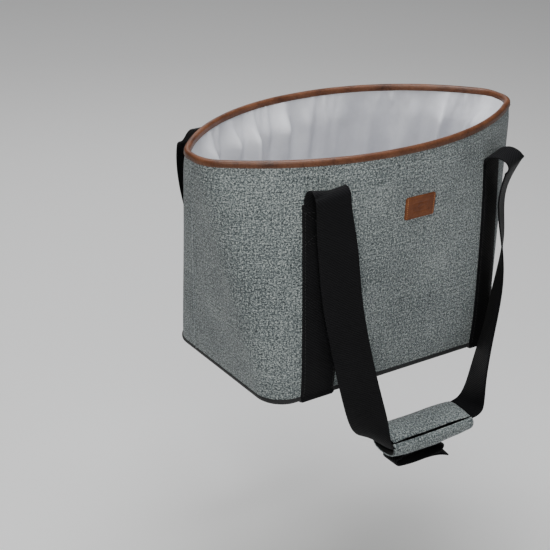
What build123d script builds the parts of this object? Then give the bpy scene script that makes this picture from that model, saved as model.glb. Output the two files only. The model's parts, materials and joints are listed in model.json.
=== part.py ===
from build123d import *
import math
import os

os.makedirs("parts", exist_ok=True)

# Handlebar basket: a soft-sided bag that hangs on a quick-release bracket clamped to a handlebar.
# Millimetres. The origin is the middle of the handlebar's axis, +Z is up and -Y is forwards.

# --- Driving dimensions -------------------------------------------------------------------
# Bag outline
bag_height = 237.0
base_half_length = 138.5
base_half_depth = 93.0
base_corner = 24.0
base_side_corner = 26.0
rim_half_length = 182.5
rim_front_depth = 87.0
rim_back_depth = 107.0
rim_tip_setback = -22.0
rim_tip_radius = 32.0
rim_flat = 3.0
# Bag layers
fabric = 1.0
board = 2.0
lining_cloth = 0.8
base_board_height = 2.5
base_cover_height = 4.5
layer_gap = 0.05
binding_radius = 3.1
rim_wire_radius = 1.2
rim_wire_cover = 0.5
seam_y_at_base = 51.0
seam_y_at_rim = -22.0
# Webbing and handles
webbing_width = 38.0
webbing = 1.6
leg_left = -89.5
leg_right = 118.0
corner_leg_width = 33.4
eye_height = 208.0
eye_radius = 3.0
eye_bite = 2.0
leg_to_eye = 8.0
front_eye_reach = 106.5
rear_eye_reach = 86.0
grip_length = 92.0
grip_height = 14.0
grip_drop = 3.4
grip_cover_thickness = 1.2
grip_end_gap = 4.0
pad_narrowing = 5.0
flap_width = 31.0
flap_thickness = 2.4
flap_lift = 5.0
# Handlebar and bracket
bar_radius = 12.7
bag_setback = 135.0
base_drop = 175.0
liner = 1.3
clamp_width = 14.0
clamp_reach = 22.0
cap_half_height = 26.0
cap_depth = 18.0
clamp_gap = 1.0
screw_radius = 2.5
screw_head_radius = 4.25
screw_head = 5.0
screw_height = 19.5
nut_across = 8.0
nut_thickness = 4.0
block_half_width = 19.0
block_low = -70.0
block_high = 16.0
rail_neck = 12.0
rail_neck_depth = 4.0
rail_head = 17.0
rail_head_depth = 4.0
rail_top = -8.0
# Mount plate on the bag
plate_half_width = 42.0
plate_low = -72.0
plate_high = 26.0
plate_reach = 101.0
plate_face = plate_reach - bag_setback
plate_depth = 30.0
plate_screw_x = 33.0
plate_screw_radius = 2.0
plate_screw_head_radius = 3.8
plate_screw_head = 2.4
backing_border = 4.0
# Release button and latch
button_half_width = 8.0
button_depth = 9.0
button_rise = 7.0
button_travel = 4.0
spring_stack = 12.0
button_edge = 1.2
stem_length = 9.0
stem_radius = 2.2
spring_wire = 0.6
leaf_half_width = 6.0
leaf_thickness = 0.8
tooth_reach = 2.2
tooth_height = 4.0
# Clearances
slide_fit = 0.3
screw_fit = 0.2
body_gap = 0.4
liner_fit = 0.03
rear_clearance = 4.3

# --- The bag's outline --------------------------------------------------------------------
base_y = -bag_setback
base_z = -base_drop
tip_reach = rim_half_length - rim_tip_radius - rim_flat


def between(low, high, share):
    return low + (high - low) * share


def panel_arc(depth):
    """Radius of the rim's long arc, and the angle it turns before it meets the tip's arc."""
    rise = depth - rim_flat
    radius = (tip_reach**2 + rise**2 - rim_tip_radius**2) / (2 * (rise - rim_tip_radius))
    return radius, math.degrees(math.atan2(tip_reach, radius - rise))


front_radius, front_turn = panel_arc(rim_front_depth)
back_radius, back_turn = panel_arc(rim_back_depth)


def level(height):
    """Horizontal plane at a height above the bag's base, centred on the base."""
    return Plane(origin=(0, base_y, base_z + height))


def corner(side_x, side_y, share):
    """Centre and radius of a corner's panel arc, then of its side arc; share runs from base to rim."""
    depth, radius, turn = (rim_front_depth, front_radius, front_turn)
    if side_y > 0:
        depth, radius, turn = (rim_back_depth, back_radius, back_turn)
    # At the base the two arcs differ a little, and meet without a kink
    step = base_corner - base_side_corner
    meet = Vector(side_x * math.sin(math.radians(turn)), side_y * math.cos(math.radians(turn)))
    base_side_x = side_x * (base_half_length - base_side_corner)
    base_panel_y = side_y * (base_half_depth - base_corner)
    base_panel_x = base_side_x - step * meet.X
    base_side_y = base_panel_y + step * meet.Y
    rim_panel_y = rim_tip_setback + side_y * (depth - radius)
    rim_side_y = rim_tip_setback + side_y * rim_flat
    rim_side_x = side_x * (rim_half_length - rim_tip_radius)
    panel = (between(base_panel_x, side_x * rim_flat, share), between(base_panel_y, rim_panel_y, share))
    side = (between(base_side_x, rim_side_x, share), between(base_side_y, rim_side_y, share))
    return panel, between(base_corner, radius, share), side, between(base_side_corner, rim_tip_radius, share)


def outline_pieces(height, inset):
    """Eight arcs of the outline in order, as (centre, radius, start angle, turn)."""
    share = height / bag_height
    pieces = []
    for side_x, side_y, start in ((1, -1, -90), (1, 1, 0), (-1, 1, 90), (-1, -1, 180)):
        panel, panel_r, tip, tip_r = corner(side_x, side_y, share)
        turn = front_turn if side_y < 0 else back_turn
        panel_first = side_x * side_y < 0
        if panel_first:
            pieces.append((panel, panel_r - inset, start, turn))
            pieces.append((tip, tip_r - inset, start + turn, 90 - turn))
        else:
            pieces.append((tip, tip_r - inset, start, 90 - turn))
            pieces.append((panel, panel_r - inset, start + 90 - turn, turn))
    return pieces


def draw_outline(height, inset):
    """Draws the closed outline in the current line builder."""
    arcs = [CenterArc(centre, r, start, turn) for centre, r, start, turn in outline_pieces(height, inset)]
    for index, arc in enumerate(arcs):
        following = arcs[(index + 1) % len(arcs)]
        if (arc @ 1 - following @ 0).length > 1e-4:
            Line(arc @ 1, following @ 0)


def outline_face(height, inset):
    """Flat face inside the outline; each arc stays an edge of its own, so that lofts match edge by edge."""
    with BuildLine(level(height)) as line:
        draw_outline(height, inset)
    return Face(line.wire())


def bag_block(low, high, inset, mode=Mode.ADD):
    """Solid between two heights, inside the outline moved in by inset."""
    loft(sections=[outline_face(low, inset), outline_face(high, inset)], ruled=True, mode=mode)


def bag_ring(low, high, outer, inner, mode=Mode.ADD):
    """Wall between two heights and two insets."""
    with BuildPart() as ring:
        bag_block(low, high, outer)
        bag_block(low, high, inner, mode=Mode.SUBTRACT)
    add(ring.part, mode=mode)


def box_between(low, high, mode=Mode.ADD):
    """Box from its lowest to its highest corner."""
    centre = tuple((a + b) / 2 for a, b in zip(low, high))
    size = [b - a for a, b in zip(low, high)]
    with Locations(centre):
        Box(*size, mode=mode)


def seam_plane():
    """Plane of the two side seams, facing backwards."""
    lean = math.atan2(seam_y_at_base - seam_y_at_rim, bag_height)
    normal = (0, math.cos(lean), math.sin(lean))
    return Plane(origin=(0, base_y + seam_y_at_base, base_z), x_dir=(1, 0, 0), z_dir=normal)


def panel_y(height, x, side_y, inset=0.0):
    """Place of the front (side_y -1) or back (side_y 1) panel's surface at a height and x."""
    share = height / bag_height
    panel, radius, _, _ = corner(math.copysign(1, x), side_y, share)
    run = max(0.0, abs(x) - abs(panel[0]))
    return base_y + panel[1] + side_y * math.sqrt((radius - inset) ** 2 - run**2)


# --- Bag shell, boards and lining ---------------------------------------------------------
board_inset = fabric + layer_gap
lining_inset = board_inset + board + layer_gap
stack = lining_inset + lining_cloth
wall_low = base_cover_height + layer_gap
wall_top = bag_height - 0.5
board_low = fabric + layer_gap
floor_low = board_low + base_board_height + layer_gap

with BuildPart() as base_cover:
    bag_block(0, base_cover_height, 0)
    bag_block(fabric, base_cover_height, fabric, mode=Mode.SUBTRACT)
base_cover.part.label = "base_cover"

with BuildPart() as base_board:
    bag_block(board_low, board_low + base_board_height, board_inset)
base_board.part.label = "base_board"


def wall_piece(low, outer, inner, side):
    """Front or back part of a wall layer, cut at the side seams."""
    with BuildPart() as piece:
        bag_ring(low, wall_top, outer, inner)
        split(bisect_by=seam_plane().offset(side * layer_gap / 2), keep=Keep.TOP if side > 0 else Keep.BOTTOM)
    return piece


shell_front = wall_piece(wall_low, 0, fabric, -1)
shell_front.part.label = "shell_front"
front_board = wall_piece(floor_low, board_inset, board_inset + board, -1)
front_board.part.label = "front_board"

with BuildPart() as lining:
    bag_block(floor_low, wall_top, lining_inset)
    bag_block(floor_low + lining_cloth, wall_top, stack, mode=Mode.SUBTRACT)
lining.part.label = "lining"

# --- Plate on the back, with the board behind it and its screws ------------------------------
backing_x = plate_half_width - backing_border
backing_low = plate_low + backing_border
backing_high = plate_high - backing_border
plate_screw_z = (plate_low + 16.0, plate_high - 12.0)
plate_screw_places = [(x, z) for x in (-plate_screw_x, plate_screw_x) for z in plate_screw_z]
behind = plate_face + 1.0
inside_bag = plate_face - plate_depth


def along_y(places, radius, start, end, mode=Mode.ADD):
    """Round bars along Y between two places, one at each (x, z)."""
    with BuildSketch(Plane.XZ.offset(-end)) as rounds:
        with Locations(*places):
            Circle(radius)
    extrude(rounds.sketch, amount=end - start, mode=mode)


with BuildPart() as back_board:
    add(wall_piece(floor_low, board_inset, board_inset + board, 1).part)
    box_between(
        (-backing_x - slide_fit, inside_bag, backing_low - slide_fit),
        (backing_x + slide_fit, behind, backing_high + slide_fit),
        mode=Mode.SUBTRACT,
    )
back_board.part.label = "back_board"

with BuildPart() as backing_plate:
    bag_ring(floor_low, wall_top, board_inset, board_inset + board)
    box_between((-backing_x, inside_bag, backing_low), (backing_x, behind, backing_high), mode=Mode.INTERSECT)
    along_y(plate_screw_places, plate_screw_radius + liner_fit, inside_bag, behind, mode=Mode.SUBTRACT)
backing_plate.part.label = "backing_plate"

with BuildPart() as shell_back:
    add(wall_piece(wall_low, 0, fabric, 1).part)
    along_y(plate_screw_places, plate_screw_radius + screw_fit, inside_bag, behind, mode=Mode.SUBTRACT)
shell_back.part.label = "shell_back"

channel_top = rail_top + slide_fit
neck_floor = plate_face - rail_neck_depth
head_floor = neck_floor - rail_head_depth - 2 * slide_fit
tooth_low = rail_top + 6.0
tooth_high = tooth_low + tooth_height

with BuildPart() as mount_plate:
    box_between((-plate_half_width, inside_bag, plate_low), (plate_half_width, plate_face, plate_high))
    fillet(mount_plate.edges().filter_by(Axis.Y), 6.0)
    fillet(mount_plate.faces().sort_by(Axis.Y)[-1].edges(), 1.0)
    bag_block(0, bag_height, -layer_gap, mode=Mode.SUBTRACT)
    # Channel for the rail, open at the bottom
    box_between(
        (-rail_neck - slide_fit, neck_floor, plate_low - 1),
        (rail_neck + slide_fit, plate_face + 1, channel_top),
        mode=Mode.SUBTRACT,
    )
    box_between(
        (-rail_head - slide_fit, head_floor, plate_low - 1),
        (rail_head + slide_fit, neck_floor, channel_top),
        mode=Mode.SUBTRACT,
    )
    # Notch for the latch's tooth
    box_between(
        (-leaf_half_width - slide_fit, plate_face - tooth_reach - slide_fit, tooth_low - slide_fit),
        (leaf_half_width + slide_fit, plate_face + 1, tooth_high + slide_fit),
        mode=Mode.SUBTRACT,
    )
    along_y(plate_screw_places, plate_screw_radius + screw_fit, inside_bag, behind, mode=Mode.SUBTRACT)
    along_y(
        plate_screw_places,
        plate_screw_head_radius + screw_fit,
        plate_face - plate_screw_head - screw_fit,
        behind,
        mode=Mode.SUBTRACT,
    )
mount_plate.part.label = "mount_plate"

screw_ends = [panel_y(base_drop + z, x, 1, inset=board_inset + board) for x, z in plate_screw_places]
with BuildPart() as plate_screws:
    for place, end in zip(plate_screw_places, screw_ends):
        shoulder = plate_face - plate_screw_head - screw_fit / 2
        along_y([place], plate_screw_radius, end + screw_fit, shoulder)
        along_y([place], plate_screw_head_radius, shoulder, plate_face - screw_fit / 2)
plate_screws.part.label = "plate_screws"

# --- Rim: wire in a leather binding ---------------------------------------------------------
binding_inset = stack / 2
wire_height = wall_top + rim_wire_radius + rim_wire_cover


def rim_tube(radius, height):
    """Round tube along the rim, over the middle of the wall's layers."""
    with BuildPart() as tube:
        with BuildLine(level(height)) as path:
            draw_outline(bag_height, binding_inset)
        start = path.wire() @ 0
        along = path.wire() % 0
        with BuildSketch(Plane(origin=start, z_dir=along)) as section:
            Circle(radius)
        sweep(sections=section.sketch, path=path.wire())
    return tube.part


with BuildPart() as rim_binding:
    add(rim_tube(binding_radius, bag_height))
    bag_ring(
        bag_height - 2 * binding_radius,
        wall_top + layer_gap,
        -layer_gap,
        stack + layer_gap,
        mode=Mode.SUBTRACT,
    )
    add(rim_tube(rim_wire_radius + layer_gap, wire_height), mode=Mode.SUBTRACT)
rim_binding.part.label = "rim_binding"

with BuildPart() as rim_wire:
    add(rim_tube(rim_wire_radius, wire_height))
rim_wire.part.label = "rim_wire"

# --- Webbing sewn up the front, under the base and up the back -------------------------------
leg_top = eye_height - leg_to_eye


def cradle(centre):
    """Webbing that carries the bag: a band round its front, base and back."""
    half = webbing_width / 2
    if centre == leg_right:
        half = corner_leg_width / 2
    with BuildPart() as band:
        bag_block(0, leg_top, -layer_gap - webbing)
        extrude(outline_face(0, -layer_gap - webbing), amount=layer_gap + webbing, dir=(0, 0, -1))
        bag_block(0, leg_top, -layer_gap, mode=Mode.SUBTRACT)
        extrude(outline_face(0, -layer_gap), amount=layer_gap, dir=(0, 0, -1), mode=Mode.SUBTRACT)
        box_between(
            (centre - half, base_y - rim_half_length, base_z - webbing - 1),
            (centre + half, base_y + rim_half_length, base_z + leg_top),
            mode=Mode.INTERSECT,
        )
    return band


webbing_left = cradle(leg_left)
webbing_left.part.label = "webbing_left"
webbing_right = cradle(leg_right)
webbing_right.part.label = "webbing_right"

# --- Label on the front ----------------------------------------------------------------------
label_x = 14.0
label_height = 178.0
label_size = (35.0, 23.0)
label_thickness = 1.6

with BuildPart() as label_patch:
    bag_ring(
        label_height - label_size[1],
        label_height + label_size[1],
        -layer_gap - label_thickness,
        -layer_gap,
    )
    box_between(
        (label_x - label_size[0] / 2, base_y - rim_half_length, base_z + label_height - label_size[1] / 2),
        (label_x + label_size[0] / 2, base_y, base_z + label_height + label_size[1] / 2),
        mode=Mode.INTERSECT,
    )
label_patch.part.label = "label_patch"


# --- Handles ---------------------------------------------------------------------------------
def strap_section(place, facing, across):
    """Rectangle of webbing at a place; the strap runs along facing and its width along across."""
    with BuildSketch(Plane(origin=place, x_dir=across, z_dir=facing)) as section:
        Rectangle(webbing_width, webbing)
    return section.sketch


def strap(stations):
    """Strap through stations of (place, width direction), with straight runs between them."""
    sections = []
    for index, (place, across) in enumerate(stations):
        before = Vector(*stations[max(index - 1, 0)][0])
        after = Vector(*stations[min(index + 1, len(stations) - 1)][0])
        run = (after - before).normalized()
        flat = Vector(*across)
        flat = (flat - run * flat.dot(run)).normalized()
        sections.append(strap_section(place, run, flat))
    loft(sections=sections, ruled=True)


def in_bag(x, y, z):
    """Place measured from the middle of the bag's base."""
    return (x, base_y + y, base_z + z)


grip_x = 25.0
grip_y = -124.0
grip_z = -52.0
front_eye_y = -front_eye_reach
rear_eye_y = rear_eye_reach
front_run = [
    (in_bag(leg_left, front_eye_y, eye_height - eye_bite), (1, 0, 0)),
    (in_bag(-75, front_eye_y - 2, 162), (1, -0.1, 0)),
    (in_bag(-62, front_eye_y - 5, 110), (1, -0.35, 0)),
    (in_bag(-51, front_eye_y - 9, 60), (1, -0.7, 0)),
    (in_bag(-42, front_eye_y - 13, 10), (0.7, -1, 0)),
    (in_bag(-35, grip_y + 1, -28), (0.3, -1, 0)),
    (in_bag(grip_x - grip_length / 2, grip_y, grip_z + 1.5), (0, -1, 0)),
    (in_bag(grip_x, grip_y, grip_z), (0, -1, 0)),
    (in_bag(grip_x + grip_length / 2, grip_y, grip_z + 1.5), (0, -1, 0)),
    (in_bag(97, grip_y + 2, -28), (-0.2, -1, 0)),
    (in_bag(113, front_eye_y - 10, 15), (-0.5, -1, 0)),
    (in_bag(120, front_eye_y - 5, 68), (-0.9, -1, 0)),
    (in_bag(122, front_eye_y - 2, 118), (-1, -0.8, 0)),
    (in_bag(120, front_eye_y - 1, 165), (-1, -0.3, 0)),
    (in_bag(leg_right, front_eye_y, eye_height - eye_bite), (-1, 0, 0)),
]


def eyes(y):
    """Folded ends of a handle, turning on the line through both eyes."""
    for centre in (leg_left, leg_right):
        start = in_bag(centre - webbing_width / 2, y, eye_height)
        with BuildSketch(Plane(origin=start, z_dir=(1, 0, 0))) as fold:
            Circle(eye_radius)
        extrude(fold.sketch, amount=webbing_width)


with BuildPart() as front_strap:
    strap(front_run)
    eyes(front_eye_y)
front_strap.part.label = "front_strap"

bar_wrap = bar_radius + 2.0 + webbing / 2


def over_bar(x, angle, across):
    """Place where the rear handle lies over the handlebar, at an angle up from the rear."""
    turn = math.radians(angle)
    return ((x, bar_wrap * math.cos(turn), bar_wrap * math.sin(turn)), across)


rear_hang = bag_setback + bar_radius + rear_clearance
rear_run = [
    (in_bag(leg_left, rear_eye_y + eye_bite, eye_height), (1, 0, 0)),
    (in_bag(leg_left + 2, rear_eye_y + 18, eye_height + 5), (1, 0, 0)),
    over_bar(leg_left + 6, 78, (1, 0, 0)),
    over_bar(leg_left + 8, 45, (1, 0, 0)),
    over_bar(leg_left + 10, 5, (1, 0, 0)),
    (in_bag(-64, rear_hang, 100), (1, 0.3, 0)),
    (in_bag(-50, rear_hang, 45), (0.7, 0.7, 0)),
    (in_bag(-40, rear_hang, -5), (0.2, 1, 0)),
    (in_bag(-21, rear_hang, -24), (0, 1, 0)),
    (in_bag(14, rear_hang, -27), (0, 1, 0)),
    (in_bag(49, rear_hang, -24), (0, 1, 0)),
    (in_bag(68, rear_hang, -5), (-0.2, 1, 0)),
    (in_bag(78, rear_hang, 45), (-0.7, 0.7, 0)),
    (in_bag(92, rear_hang, 100), (-1, 0.3, 0)),
    over_bar(leg_right - 10, 5, (-1, 0, 0)),
    over_bar(leg_right - 8, 45, (-1, 0, 0)),
    over_bar(leg_right - 6, 78, (-1, 0, 0)),
    (in_bag(leg_right - 2, rear_eye_y + 18, eye_height + 5), (-1, 0, 0)),
    (in_bag(leg_right, rear_eye_y + eye_bite, eye_height), (-1, 0, 0)),
]

with BuildPart() as rear_strap:
    strap(rear_run)
    eyes(rear_eye_y)
rear_strap.part.label = "rear_strap"

# --- Grip on the front handle ----------------------------------------------------------------
grip_low = grip_z - grip_height
grip_back = grip_y + flap_width / 2
pad_width = flap_width - pad_narrowing
pad_height = grip_height - grip_drop
grip_start = in_bag(grip_x - grip_length / 2 + grip_end_gap, 0, 0)
grip_mid = Plane(origin=grip_start, x_dir=(0, 1, 0), z_dir=(1, 0, 0))
grip_run = grip_length - 2 * grip_end_gap

with BuildPart() as grip_pad:
    with BuildSketch(grip_mid):
        with Locations((grip_y, grip_z - grip_drop - grip_height / 2)):
            SlotOverall(pad_width, pad_height)
    extrude(amount=grip_run)
grip_pad.part.label = "grip_pad"

with BuildPart() as grip_cover:
    with BuildSketch(grip_mid):
        with Locations((grip_y, grip_z - grip_drop - grip_height / 2)):
            SlotOverall(pad_width + 2 * grip_cover_thickness, pad_height + 2 * grip_cover_thickness)
            SlotOverall(pad_width + 2 * layer_gap, pad_height + 2 * layer_gap, mode=Mode.SUBTRACT)
    extrude(amount=grip_run)
grip_cover.part.label = "grip_cover"

flap_low = grip_z + flap_lift
with BuildPart() as grip_flap:
    with BuildSketch(grip_mid):
        with Locations((grip_back, flap_low + flap_thickness / 2)):
            Circle(flap_thickness / 2)
        with Locations((grip_y, flap_low + flap_thickness / 2)):
            Rectangle(flap_width, flap_thickness)
    extrude(amount=grip_run)
grip_flap.part.label = "grip_flap"

tab_length = 58.0
tab_height = 11.0
tab_thickness = 2.0
tab_width = 25.0
tab_drop = 12.0
tab_shift = 12.0
with BuildPart() as closure_tab:
    with BuildSketch(Plane(origin=in_bag(0, grip_y + tab_width / 2, 0), x_dir=(1, 0, 0), z_dir=(0, -1, 0))):
        with Locations((grip_x - tab_shift, grip_low - tab_drop)):
            SlotOverall(tab_length, tab_height)
            SlotOverall(tab_length - 2 * tab_thickness, tab_height - 2 * tab_thickness, mode=Mode.SUBTRACT)
    extrude(amount=tab_width)
closure_tab.part.label = "closure_tab"

# --- Handlebar bracket -----------------------------------------------------------------------
bore_radius = bar_radius + liner
block_face = plate_face + body_gap
lug_outer = clamp_reach + clamp_width
clamp_x = clamp_reach + clamp_width / 2
pocket_front = block_face + 4.5
pocket_back = pocket_front + button_depth + 1.0
pocket_half = button_half_width + slide_fit
screw_places = [(x, z) for x in (-clamp_x, clamp_x) for z in (-screw_height, screw_height)]
bore_half = 13.0
cap_face = clamp_gap
lug_face = -clamp_gap
leaf_foot = -40.0

with BuildPart() as bracket_body:
    box_between((-lug_outer, -cap_depth, -cap_half_height), (lug_outer, lug_face, cap_half_height))
    box_between((-block_half_width, block_face, block_low), (block_half_width, -cap_depth, block_high))
    fillet(bracket_body.edges().filter_by(Axis.X).group_by(Axis.Y)[0], 3.0)
    # Rail that the bag's plate slides down
    box_between(
        (-rail_neck, plate_face - rail_neck_depth - slide_fit, block_low),
        (rail_neck, block_face, rail_top),
    )
    box_between(
        (-rail_head, head_floor + slide_fit, block_low),
        (rail_head, head_floor + slide_fit + rail_head_depth, rail_top),
    )
    # Bore for the handlebar and its liners
    with BuildSketch(Plane.YZ.offset(-lug_outer - 1)):
        Circle(bore_radius)
    extrude(amount=2 * lug_outer + 2, mode=Mode.SUBTRACT)
    # Space between the two clamps
    box_between((-clamp_reach, -bore_half - 2, -bore_half), (clamp_reach, 0, bore_half), mode=Mode.SUBTRACT)
    along_y(screw_places, screw_radius + screw_fit, -cap_depth - 10, 1, mode=Mode.SUBTRACT)
    with BuildSketch(Plane.XZ.offset(cap_depth + 1)):
        with Locations(*screw_places):
            RegularPolygon(nut_across / 2 + screw_fit, 6, major_radius=False)
    extrude(amount=-nut_thickness - 1, mode=Mode.SUBTRACT)
    # Pocket for the release button, its spring and the latch
    box_between(
        (-pocket_half, pocket_front, leaf_foot - 4),
        (pocket_half, pocket_back, block_high + 1),
        mode=Mode.SUBTRACT,
    )
    box_between(
        (-leaf_half_width - slide_fit, block_face - 1, tooth_low - 1),
        (leaf_half_width + slide_fit, pocket_front + 1, tooth_high + 1),
        mode=Mode.SUBTRACT,
    )
bracket_body.part.label = "bracket_body"

clamp_caps = []
liners = []
for side, side_name in ((-1, "left"), (1, "right")):
    start = side * clamp_x - clamp_width / 2
    with BuildPart() as cap:
        box_between((start, cap_face, -cap_half_height), (start + clamp_width, cap_depth, cap_half_height))
        fillet(cap.edges().filter_by(Axis.X).group_by(Axis.Y)[-1], 9.0)
        with BuildSketch(Plane.YZ.offset(start - 1)):
            Circle(bore_radius)
        extrude(amount=clamp_width + 2, mode=Mode.SUBTRACT)
        places = [(side * clamp_x, -screw_height), (side * clamp_x, screw_height)]
        along_y(places, screw_radius + screw_fit, 0, cap_depth + 1, mode=Mode.SUBTRACT)
        head_floor_y = cap_depth - screw_head
        along_y(places, screw_head_radius + screw_fit, head_floor_y, cap_depth + 1, mode=Mode.SUBTRACT)
    cap.part.label = f"clamp_cap_{side_name}"
    clamp_caps.append(cap)
    for half, half_name in ((-1, "front"), (1, "rear")):
        with BuildPart() as sleeve:
            with BuildSketch(Plane.YZ.offset(start)):
                Circle(bore_radius - liner_fit)
                Circle(bar_radius, mode=Mode.SUBTRACT)
                with Locations((-half * bore_radius, 0)):
                    Rectangle(2 * (bore_radius + clamp_gap / 2), 2 * bore_radius + 2, mode=Mode.SUBTRACT)
            extrude(amount=clamp_width)
        sleeve.part.label = f"bar_liner_{side_name}_{half_name}"
        liners.append(sleeve)

screw_shoulder = cap_depth - screw_head + screw_fit / 2
with BuildPart() as clamp_screws:
    along_y(screw_places, screw_radius, -cap_depth, screw_shoulder)
    along_y(screw_places, screw_head_radius, screw_shoulder, screw_shoulder + screw_head)
    with BuildSketch(Plane.XZ.offset(-screw_shoulder - screw_head)):
        with Locations(*screw_places):
            RegularPolygon(2.0, 6, major_radius=False)
    extrude(amount=2.5, mode=Mode.SUBTRACT)
clamp_screws.part.label = "clamp_screws"

with BuildPart() as clamp_nuts:
    with BuildSketch(Plane.XZ.offset(cap_depth)):
        with Locations(*screw_places):
            RegularPolygon(nut_across / 2, 6, major_radius=False)
        with Locations(*screw_places):
            Circle(screw_radius + liner_fit, mode=Mode.SUBTRACT)
    extrude(amount=-nut_thickness + screw_fit)
clamp_nuts.part.label = "clamp_nuts"

# --- Release button, its spring and the latch leaf ----------------------------------------------
button_y = (pocket_front + pocket_back) / 2
button_low = block_high - 3.0
spring_seat = button_low - button_travel - spring_stack
spring_radius = 3.4
spring_turns = 5
spring_free = button_low - spring_seat - 2 * spring_wire - 2 * layer_gap

with BuildPart() as release_button:
    box_between(
        (-button_half_width, button_y - button_depth / 2, button_low),
        (button_half_width, button_y + button_depth / 2, block_high + button_rise),
    )
    fillet(release_button.edges().filter_by(Axis.Z), 1.5)
    fillet(release_button.faces().sort_by(Axis.Z)[-1].edges(), button_edge)
    with BuildSketch(Plane(origin=(0, button_y, button_low))):
        Circle(stem_radius)
    extrude(amount=-stem_length)
release_button.part.label = "release_button"

with BuildPart() as spring_seat_block:
    box_between(
        (-pocket_half + liner_fit, pocket_front + 1.2, spring_seat - 3),
        (pocket_half - liner_fit, pocket_back - liner_fit, spring_seat),
    )
    with BuildSketch(Plane(origin=(0, button_y, spring_seat))):
        Circle(stem_radius + slide_fit)
    extrude(amount=-3, mode=Mode.SUBTRACT)
spring_seat_block.part.label = "spring_seat"

spring_base = (0, button_y, spring_seat + spring_wire + layer_gap)
with BuildPart() as button_spring:
    with BuildLine() as coil:
        Helix(pitch=spring_free / spring_turns, height=spring_free, radius=spring_radius, center=spring_base)
    with BuildSketch(Plane(origin=coil.line @ 0, z_dir=coil.line % 0)):
        Circle(spring_wire)
    sweep()
button_spring.part.label = "button_spring"

with BuildPart() as latch_leaf:
    box_between(
        (-leaf_half_width, pocket_front + layer_gap, leaf_foot),
        (leaf_half_width, pocket_front + layer_gap + leaf_thickness, tooth_high),
    )
    box_between(
        (-leaf_half_width, plate_face - tooth_reach, tooth_low),
        (leaf_half_width, pocket_front + layer_gap, tooth_high),
    )
latch_leaf.part.label = "latch_leaf"

for piece in (
    base_cover, base_board, shell_front, shell_back, front_board, back_board, lining, backing_plate,
    mount_plate, plate_screws, rim_binding, rim_wire, webbing_left, webbing_right, label_patch,
    front_strap, rear_strap, grip_pad, grip_cover, grip_flap, closure_tab,
    bracket_body, *clamp_caps, *liners, clamp_screws, clamp_nuts,
    release_button, spring_seat_block, button_spring, latch_leaf,
):
    export_step(piece.part, f"parts/{piece.part.label}.step")
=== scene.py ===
import json
import math

import bpy
import numpy as np
from mathutils import Matrix, Vector


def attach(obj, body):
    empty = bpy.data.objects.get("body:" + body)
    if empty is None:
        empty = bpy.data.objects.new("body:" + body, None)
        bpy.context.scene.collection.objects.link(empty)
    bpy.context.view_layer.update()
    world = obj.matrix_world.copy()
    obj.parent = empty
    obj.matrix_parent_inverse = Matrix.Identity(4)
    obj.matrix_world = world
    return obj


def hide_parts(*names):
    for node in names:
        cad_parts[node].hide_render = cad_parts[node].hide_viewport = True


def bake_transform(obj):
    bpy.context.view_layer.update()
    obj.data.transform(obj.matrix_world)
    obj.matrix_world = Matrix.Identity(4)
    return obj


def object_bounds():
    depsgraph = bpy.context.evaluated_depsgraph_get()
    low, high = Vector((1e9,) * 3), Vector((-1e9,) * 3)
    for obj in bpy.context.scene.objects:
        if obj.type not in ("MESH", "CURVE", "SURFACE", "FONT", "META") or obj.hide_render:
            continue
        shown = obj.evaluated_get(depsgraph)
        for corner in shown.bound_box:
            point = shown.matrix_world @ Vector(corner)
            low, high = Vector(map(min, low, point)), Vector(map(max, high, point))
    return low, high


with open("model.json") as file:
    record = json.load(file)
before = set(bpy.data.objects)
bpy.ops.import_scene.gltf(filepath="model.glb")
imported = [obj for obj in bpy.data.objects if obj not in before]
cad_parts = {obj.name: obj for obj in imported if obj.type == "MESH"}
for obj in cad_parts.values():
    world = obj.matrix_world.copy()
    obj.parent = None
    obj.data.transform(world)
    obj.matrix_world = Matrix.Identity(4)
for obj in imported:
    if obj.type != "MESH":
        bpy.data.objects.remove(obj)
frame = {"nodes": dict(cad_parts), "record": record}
cad_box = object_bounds()
nodes = frame["nodes"]

# The bag is described in millimetres from the middle of its base, and moved to the row frame here
BASE = np.array([0.0, -135.0, -175.0])
HEIGHT = 237.0
HALF_LENGTH, HALF_DEPTH, CORNER, SIDE_CORNER = 138.5, 93.0, 24.0, 26.0
RIM_LENGTH, RIM_FRONT, RIM_BACK, RIM_TIP_Y, RIM_TIP_R, RIM_FLAT = 182.5, 87.0, 107.0, -22.0, 32.0, 3.0
SEAM_BASE, SEAM_RIM = 51.0, -22.0
LEG_TOP = 199.0
LEG_LEFT, LEG_RIGHT = -89.5, 118.0
WEBBING, WEB_THICK, WEB_COLS = 38.0, 1.6, 21


def lerp(a, b, t):
    return a + (b - a) * t


def smooth(t):
    t = np.clip(t, 0, 1)
    return t * t * (3 - 2 * t)


def run_along(points):
    """Length from the first point to each point."""
    return np.concatenate([[0], np.cumsum(np.linalg.norm(np.diff(points, axis=0), axis=1))])


def row(points):
    return (np.asarray(points, float) + BASE) / 1000.0


# --- Outline of the bag at a height ------------------------------------------------------------
def panel_arc(depth):
    tip = RIM_LENGTH - RIM_TIP_R - RIM_FLAT
    rise = depth - RIM_FLAT
    radius = (tip**2 + rise**2 - RIM_TIP_R**2) / (2 * (rise - RIM_TIP_R))
    return radius, math.atan2(tip, radius - rise)


FRONT_R, FRONT_TURN = panel_arc(RIM_FRONT)
BACK_R, BACK_TURN = panel_arc(RIM_BACK)


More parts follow.
